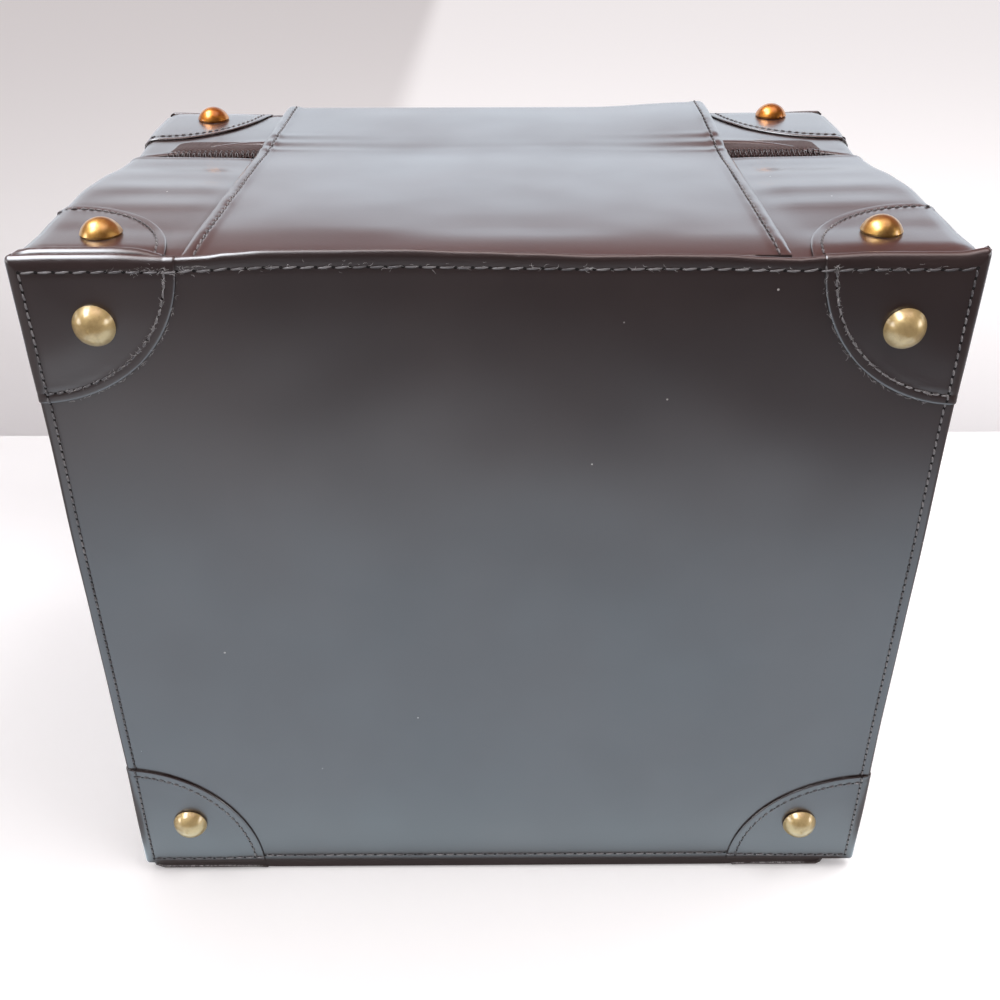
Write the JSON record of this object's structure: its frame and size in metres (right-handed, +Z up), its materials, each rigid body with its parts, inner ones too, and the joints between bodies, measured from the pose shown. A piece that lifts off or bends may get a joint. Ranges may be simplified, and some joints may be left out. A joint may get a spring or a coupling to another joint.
{
  "type": "cosmetic case",
  "caption": "Leather-covered box case with a zip-round hinged lid, patched corners with dome studs, an inner mirror and a carrying handle.",
  "frame": {"origin": "centre of the bounding box in X and Y (within 2 mm), on the floor the front wall's studs stand on", "axes": "+X right along the hinge, +Y from the base panel towards the lid panel, +Z up from the front wall to the hinge wall, as pictured"},
  "size_m": [0.266, 0.1918, 0.2334],
  "materials": {
    "case_leather": "smooth, polished, dark brown-black",
    "patch_leather": "smooth, polished, dark brown-black",
    "handle_leather": "smooth, padded",
    "board": "stiff grey-brown board",
    "lining_cloth": "woven, brown",
    "zip_tape": "woven, dark brown",
    "zip_coil": "moulded, dark brown",
    "brass_studs": "antique, polished",
    "brass_rings": "antique",
    "brass_zip": "antique",
    "steel_washers": "stamped",
    "mirror_frame": "dark, satin",
    "mirror_glass": "silvered"
  },
  "bodies": {
    "case_body": {"base_panel": "case_leather", "base_board": "board", "base_studs": "brass_studs", "base_patch_ul": "patch_leather", "base_patch_ur": "patch_leather", "base_patch_ll": "patch_leather", "base_patch_lr": "patch_leather", "body_corner_ul": "patch_leather", "body_corner_ur": "patch_leather", "body_corner_ll": "patch_leather", "body_corner_lr": "patch_leather", "body_board_hinge": "board", "body_board_front": "board", "body_board_left": "board", "body_board_right": "board", "body_hinge_studs": "brass_studs", "body_front_studs": "brass_studs", "body_side_studs": "brass_studs", "body_stud_caps": "steel_washers", "body_gusset": "case_leather", "body_lining": "lining_cloth", "body_zip_tape": "zip_tape", "body_zip_coil": "zip_coil", "hinge_panel": "case_leather", "hinge_lining": "lining_cloth"},
    "lid": {"lid_top_panel": "case_leather", "lid_top_board": "board", "lid_top_studs": "brass_studs", "lid_top_patch_ul": "patch_leather", "lid_top_patch_ur": "patch_leather", "lid_top_patch_ll": "patch_leather", "lid_top_patch_lr": "patch_leather", "lid_corner_ul": "patch_leather", "lid_corner_ur": "patch_leather", "lid_corner_ll": "patch_leather", "lid_corner_lr": "patch_leather", "lid_board_hinge": "board", "lid_board_front": "board", "lid_board_left": "board", "lid_board_right": "board", "lid_hinge_studs": "brass_studs", "lid_front_studs": "brass_studs", "lid_side_studs": "brass_studs", "lid_stud_caps": "steel_washers", "lid_gusset": "case_leather", "lid_lining": "lining_cloth", "lid_zip_tape": "zip_tape", "lid_zip_coil": "zip_coil", "mirror_frame": "mirror_frame", "mirror_glass": "mirror_glass", "handle_chapes": "handle_leather", "chape_rivets": "brass_studs"},
    "handle_rings": {"handle_rings": "brass_rings"},
    "handle_grip": {"handle": "handle_leather"},
    "slider_upper": {"slider_upper": "brass_zip"},
    "slider_lower": {"slider_lower": "brass_zip"},
    "pull_upper": {"pull_upper": "brass_zip"},
    "pull_lower": {"pull_lower": "brass_zip"}
  },
  "joints": [
    {"name": "lid_hinge", "type": "hinge", "parent": "case_body", "child": "lid", "pos_m": [0, 0.025, 0.226], "axis": [1, 0, 0], "range_deg": [0, 110], "deforming": ["body_zip_coil", "lid_zip_coil", "hinge_panel", "hinge_lining"]},
    {"name": "ring_swing", "type": "hinge", "parent": "lid", "child": "handle_rings", "pos_m": [0, 0.0925, 0.116], "axis": [1, 0, 0], "range_deg": [0, 85]},
    {"name": "grip_swing", "type": "hinge", "parent": "handle_rings", "child": "handle_grip", "pos_m": [0, 0.0925, 0.104], "axis": [1, 0, 0], "range_deg": [0, 85]},
    {"name": "slider_upper_run", "type": "slide", "parent": "case_body", "child": "slider_upper", "axis": [0, 0, 1], "range_m": [0, 0.06], "deforming": ["body_zip_coil", "lid_zip_coil"]},
    {"name": "slider_lower_run", "type": "slide", "parent": "case_body", "child": "slider_lower", "axis": [0, 0, -1], "range_m": [0, 0.085], "deforming": ["body_zip_coil", "lid_zip_coil"]},
    {"name": "pull_upper_swing", "type": "hinge", "parent": "slider_upper", "child": "pull_upper", "pos_m": [0.1261, 0.025, 0.12075], "axis": [0, -1, 0], "range_deg": [0, 120]},
    {"name": "pull_lower_swing", "type": "hinge", "parent": "slider_lower", "child": "pull_lower", "pos_m": [0.1261, 0.025, 0.10835], "axis": [0, -1, 0], "range_deg": [0, 30]}
  ]
}
